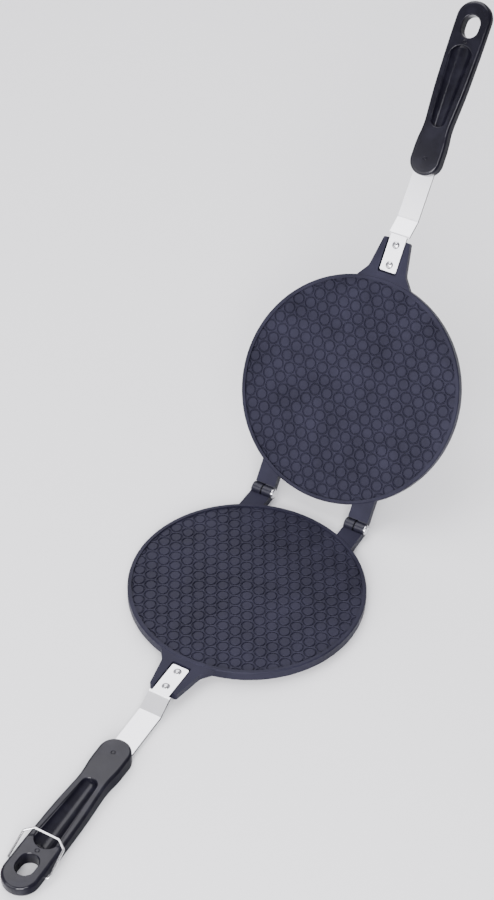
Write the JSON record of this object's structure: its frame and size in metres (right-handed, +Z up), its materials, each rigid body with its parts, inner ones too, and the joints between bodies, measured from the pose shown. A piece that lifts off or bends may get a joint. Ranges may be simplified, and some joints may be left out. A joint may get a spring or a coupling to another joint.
{
  "type": "waffle cone pan",
  "caption": "Hinged stovetop pan with two round plates, strap handles and a wire locking bail, shown open.",
  "frame": {"origin": "centre of the standing ring on the underside of the lower plate", "axes": "+Z up from the lower plate's cooking face, handles to -Y, hinge axis along X behind the plates at +Y"},
  "size_m": [0.19, 0.696, 0.3675],
  "materials": {
    "coated_casting": "satin non-stick coating on cast aluminium",
    "strap_steel": "brushed",
    "rivet_steel": "polished",
    "moulded_handle": "glossy black phenolic",
    "bail_wire": "bright plated wire"
  },
  "bodies": {
    "lower": {"lower_plate": "coated_casting", "hinge_pin_left": "rivet_steel", "hinge_pin_right": "rivet_steel", "lower_strap": "strap_steel", "lower_strap_rivets": "rivet_steel", "lower_handle": "moulded_handle"},
    "upper": {"upper_plate": "coated_casting", "upper_strap": "strap_steel", "upper_strap_rivets": "rivet_steel", "upper_handle": "moulded_handle"},
    "bail": {"locking_bail": "bail_wire"}
  },
  "joints": [
    {"name": "main_hinge", "type": "hinge", "parent": "lower", "child": "upper", "pos_m": [0, 0.1041, 0.008], "axis": [1, 0, 0], "range_deg": [0, 125.17]},
    {"name": "bail_pivot", "type": "hinge", "parent": "lower", "child": "bail", "pos_m": [0, -0.3073, -0.0052], "axis": [1, 0, 0], "range_deg": [-5, 150]}
  ]
}
